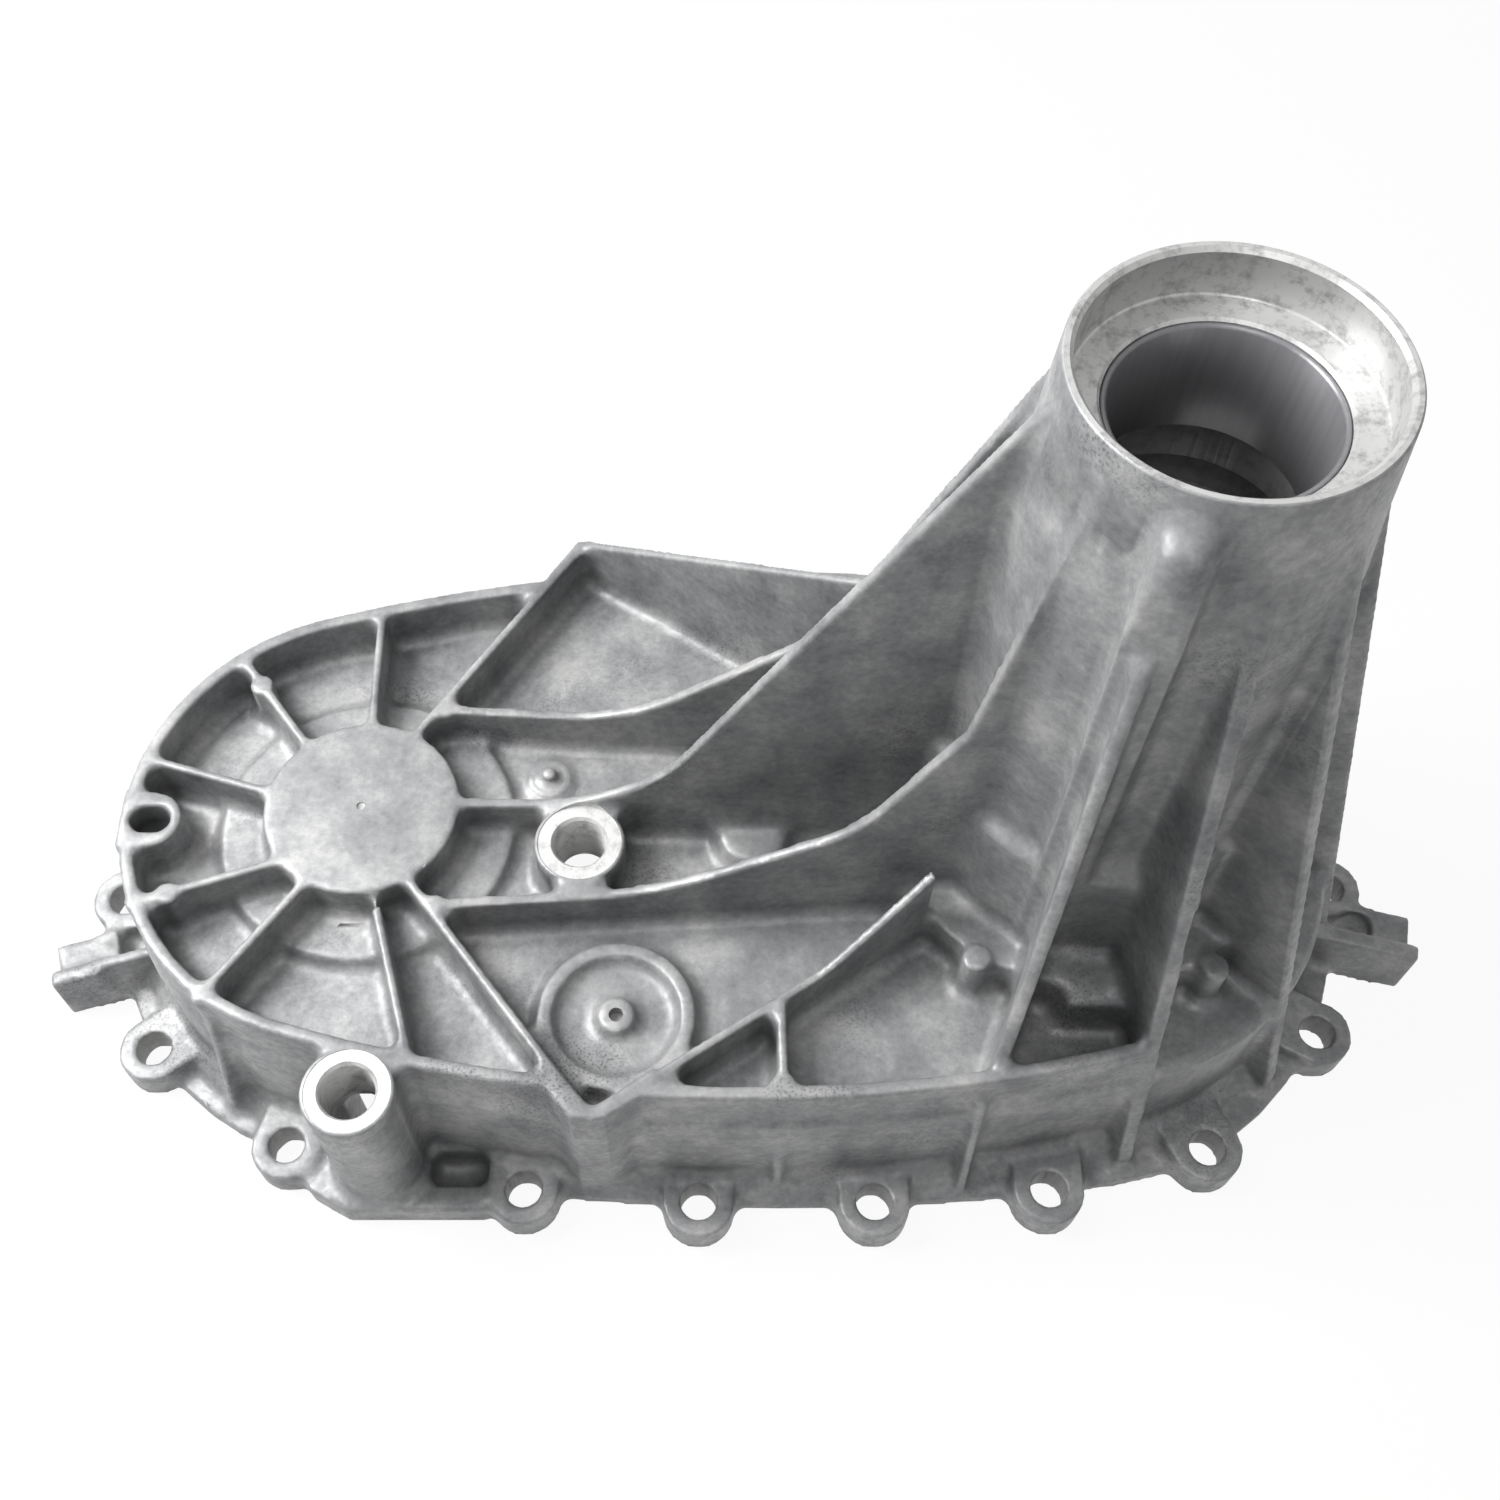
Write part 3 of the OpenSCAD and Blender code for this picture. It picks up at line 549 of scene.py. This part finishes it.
def collarProfile(collar):
    # outside of the tower top with a softly rounded edge, sunk into the casting below
    top, edge = towerTop / mm, collar["edge"]
    rise = top - collar["low"]
    lean = (collar["lowRadius"] - collar["topRadius"]) / rise
    out = collar["topRadius"] + collar["proud"]
    rounding = [(out - edge + edge * math.cos(math.radians(a)) + lean * edge * (1 - a / 90),
                 top - edge + edge * math.sin(math.radians(a))) for a in edgeTurns]
    return [(0, collar["low"] - sunk),
            (out + lean * rise - collar["foot"], collar["low"] - sunk),
            (out + lean * rise, collar["low"] + sunk), *rounding, (0, top)]


def bossProfile(boss, radius):
    # top of a plug boss with a softly rounded edge, sunk into the casting below
    top, edge = rimTop / mm + boss["proud"], boss["edge"]
    rounding = [(radius - edge + edge * math.cos(math.radians(a)),
                 top - edge + edge * math.sin(math.radians(a))) for a in edgeTurns]
    return [(0, boss["low"]), (radius, boss["low"]), *rounding, (0, top)]


def pinProfile(pad):
    floor, edge = pad["floor"], pad["edge"]
    padTop, pinTop = floor + pad["padHeight"], floor + pad["pinHeight"]
    return [(0, floor - sunk), (pad["padRadius"], floor - sunk), (pad["padRadius"], padTop - edge),
            (pad["padRadius"] - edge, padTop), (pad["pinRadius"] + edge, padTop),
            (pad["pinRadius"], padTop + edge), (pad["pinRadius"], pinTop - 2 * edge),
            (pad["pinRadius"] - edge, pinTop - edge / 2), (0, pinTop)]


# the back right fin stands out further than the others, in mm
backFin = {
    "angle": 10,                    # degrees from the long axis
    "thick": 3.6, "edge": 0.8, "edgeSteps": 2,
    # corners as (distance from the shaft line, height)
    "outline": [(38, 236), (40.8, 228), (92.8, 14), (92.8, 8), (60, 8)],
}


def finBody(name, fin, material):
    # upright plate from its outline in the plane through the shaft line
    bm = bmesh.new()
    turn = math.radians(fin["angle"])
    along = Vector((math.cos(turn), math.sin(turn), 0))
    side = Vector((-math.sin(turn), math.cos(turn), 0)) * fin["thick"] / 2 * mm
    faces = [[bm.verts.new(towerFoot + along * r * mm + Vector((0, 0, z * mm)) + way * side)
              for r, z in fin["outline"]] for way in (-1, 1)]
    bm.faces.new(faces[0])
    bm.faces.new(faces[1][::-1])
    for i in range(len(faces[0])):
        j = (i + 1) % len(faces[0])
        bm.faces.new((faces[0][j], faces[0][i], faces[1][i], faces[1][j]))
    bmesh.ops.recalc_face_normals(bm, faces=bm.faces)
    rims = [edge for edge in bm.edges if abs(edge.calc_length() - fin["thick"] * mm) > 1e-6]
    bmesh.ops.bevel(bm, geom=rims, offset=fin["edge"] * mm, offset_type="OFFSET",
                    segments=fin["edgeSteps"], profile=0.5, affect="EDGES", material=-1)
    return newPiece(bm, name, material)


def addCastDetails(piece):
    pinAxis = bossAxis + Vector((*pinPad["place"], 0)) * mm
    combine(piece, "UNION", [
        spunBody("collarBody", collarProfile(towerCollar), towerFoot, towerCut["segments"],
                 castMaterial),
        spunBody("fillBody", bossProfile(plugBoss, plugBoss["fillRadius"]), fillAxis,
                 plugBoss["segments"], castMaterial),
        spunBody("drainBody", bossProfile(plugBoss, plugBoss["drainRadius"]), drainAxis,
                 plugBoss["segments"], castMaterial),
        spunBody("pinBody", pinProfile(pinPad), pinAxis, pinPad["segments"], castMaterial),
        finBody("finBody", backFin, castMaterial)])


def drill(name, axis, radius, high, low):
    # plain round cut between two heights
    return spunBody(name, [(0, high), (radius, high), (radius, low), (0, low)], axis,
                    drillCut["segments"], drilledMaterial)


def machineCase(piece):
    rim = rimTop / mm
    cutters = [spunBody("towerCutter", towerBore(towerCut), towerFoot, towerCut["segments"],
                        turnedMaterial),
               spunBody("coreCutter", towerCore(towerCut), towerFoot, towerCut["segments"],
                        drilledMaterial)]
    for name, axis in (("fill", fillAxis), ("drain", drainAxis)):
        cutters.append(threadedBody(name + "Cutter", axis, plugCut[name + "Face"], rim,
                                    plugCut[name + "Depth"], plugCut, plugMaterial))
    for place in boltPlaces():
        cutters.append(drill("boltCutter", place, drillCut["boltRadius"] + skinCut / 2,
                             drillCut["boltDepth"] + clear, -drillCut["below"]))
    cutters.append(drill("tagCutter", tagAxis, drillCut["tagRadius"] + skinCut / 2,
                         drillCut["tagHigh"], drillCut["tagLow"]))
    mark, high = drillCut["markRadius"], rim + drillCut["markAbove"]
    cutters.append(spunBody("markCutter", [(0, high), (mark, high),
                   (mark * drillCut["markTaper"], rim - drillCut["markLip"]),
                   (0, rim - drillCut["markDepth"])],
                   bossAxis, drillCut["segments"], drilledMaterial))
    cutters.append(drill("matingCutter", Vector((0, 0, 0)), drillCut["faceRadius"], skinCut / 2,
                         -drillCut["faceDepth"]))
    combine(piece, "DIFFERENCE", cutters)


crispAngle = 32                     # degrees, from which an edge of a machined face is sharp


def shadeCrisp(piece):
    # smooth shading, with the edges of machined faces left sharp
    bm = bmesh.new()
    bm.from_mesh(piece.data)
    for face in bm.faces:
        face.smooth = True
    for edge in bm.edges:
        if len(edge.link_faces) == 2 and any(face.material_index for face in edge.link_faces):
            edge.smooth = edge.calc_face_angle() < math.radians(crispAngle)
    bm.to_mesh(piece.data)
    bm.free()


castCase = mergedCopy("rear_case", "castCase")
castCase.data.materials.append(castMaterial)
roundCastEdges(castCase, caseShape)
addCastDetails(castCase)
machineCase(castCase)
shadeCrisp(castCase)
print("casting machined", len(castCase.data.polygons), [m.name for m in castCase.data.materials])
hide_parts("rear_case")
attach(castCase, "root")


# Bush

bushShape = {"wall": 1.4, "lead": 0.7, "edge": 0.25, "segments": 160}      # in mm


def bushProfile(shape):
    # closed profile of the bush wall in mm, with a rounded lip
    outer = bushRadius / mm
    inner = outer - shape["wall"]
    low, high = (height / mm for height in bushHeights)
    edge = shape["edge"]
    return [(inner, low + edge), (inner, high - shape["lead"]), (inner + shape["lead"], high),
            (outer - edge, high), (outer, high - edge), (outer, low + edge), (outer - edge, low),
            (inner + edge, low), (inner, low + edge)]


bushLining = spunBody("bushLining", bushProfile(bushShape), towerFoot, bushShape["segments"],
                      bushMaterial)
shadeCrisp(bushLining)
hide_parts("output_bushing")
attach(bushLining, "root")
print("bush ready")


# Floor, world and lamps

studio = {
    "floorSize": 3.0,               # metres
    "paper": "#f4f4f4",
    "showPaper": 0.93,              # share of plain white that the camera sees
    "skyStrength": 0.17,
}


def seenShare(tree):
    # 1 where the camera, metal or glass sees the surface, 0 where it only lights the object
    ray = addNode(tree, "ShaderNodeLightPath")
    shiny = addNode(tree, "ShaderNodeMath", {"operation": "MAXIMUM"},
                    {0: ray.outputs["Is Glossy Ray"], 1: ray.outputs["Is Transmission Ray"]})
    return addNode(tree, "ShaderNodeMath", {"operation": "MAXIMUM"},
                   {0: ray.outputs["Is Camera Ray"], 1: shiny.outputs[0]}).outputs[0]


def makeFloor(look):
    bm = bmesh.new()
    bmesh.ops.create_grid(bm, x_segments=1, y_segments=1, size=look["floorSize"])
    mesh = bpy.data.meshes.new("studioFloor")
    bm.to_mesh(mesh)
    bm.free()
    floor = bpy.data.objects.new("studioFloor", mesh)
    scene.collection.objects.link(floor)
    material, tree, output = newMaterial("whitePaper")
    paper = addNode(tree, "ShaderNodeBsdfDiffuse", {"Color": linear(look["paper"])})
    glow = addNode(tree, "ShaderNodeEmission", {"Strength": 1.0})
    share = addNode(tree, "ShaderNodeMath", {"operation": "MULTIPLY", 1: look["showPaper"]},
                    {0: seenShare(tree)})
    mixed = addNode(tree, "ShaderNodeMixShader",
                    links={0: share.outputs[0], 1: paper.outputs[0], 2: glow.outputs[0]})
    tree.links.new(mixed.outputs[0], output.inputs[0])
    mesh.materials.append(material)


def makeSky(look):
    world = bpy.data.worlds.new("studioSky")
    scene.world = world
    world.use_nodes = True
    tree = world.node_tree
    tree.nodes.clear()
    output = addNode(tree, "ShaderNodeOutputWorld")
    strength = addNode(tree, "ShaderNodeMapRange",
                       {"To Min": look["skyStrength"], "To Max": 1.0},
                       {"Value": seenShare(tree)})
    sky = addNode(tree, "ShaderNodeBackground", {"Color": linear(white)},
                  {"Strength": strength.outputs[0]})
    tree.links.new(sky.outputs[0], output.inputs[0])


lamps = {
    "topLamp": {"place": (-0.75, 0.55, 1.2), "aim": (0, 0, 0.05), "size": 1.2, "power": 5},
    "leftLamp": {"place": (-0.58, 0.08, 0.66), "aim": (-0.1, 0, 0.08), "size": 0.45, "power": 11},
    "frontLamp": {"place": (0.0, -0.45, 1.55), "aim": (0.06, 0, 0.15), "size": 0.45, "power": 4},
}


def makeLamp(name, lamp):
    data = bpy.data.lights.new(name, "AREA")
    data.shape = "SQUARE"
    data.size = lamp["size"]
    data.energy = lamp["power"]
    piece = bpy.data.objects.new(name, data)
    piece.location = lamp["place"]
    way = Vector(lamp["aim"]) - piece.location
    piece.rotation_euler = way.to_track_quat("-Z", "Y").to_euler()
    scene.collection.objects.link(piece)


makeFloor(studio)
makeSky(studio)
for lampName, lamp in lamps.items():
    makeLamp(lampName, lamp)
scene.view_settings.view_transform = "Standard"
print("studio ready")
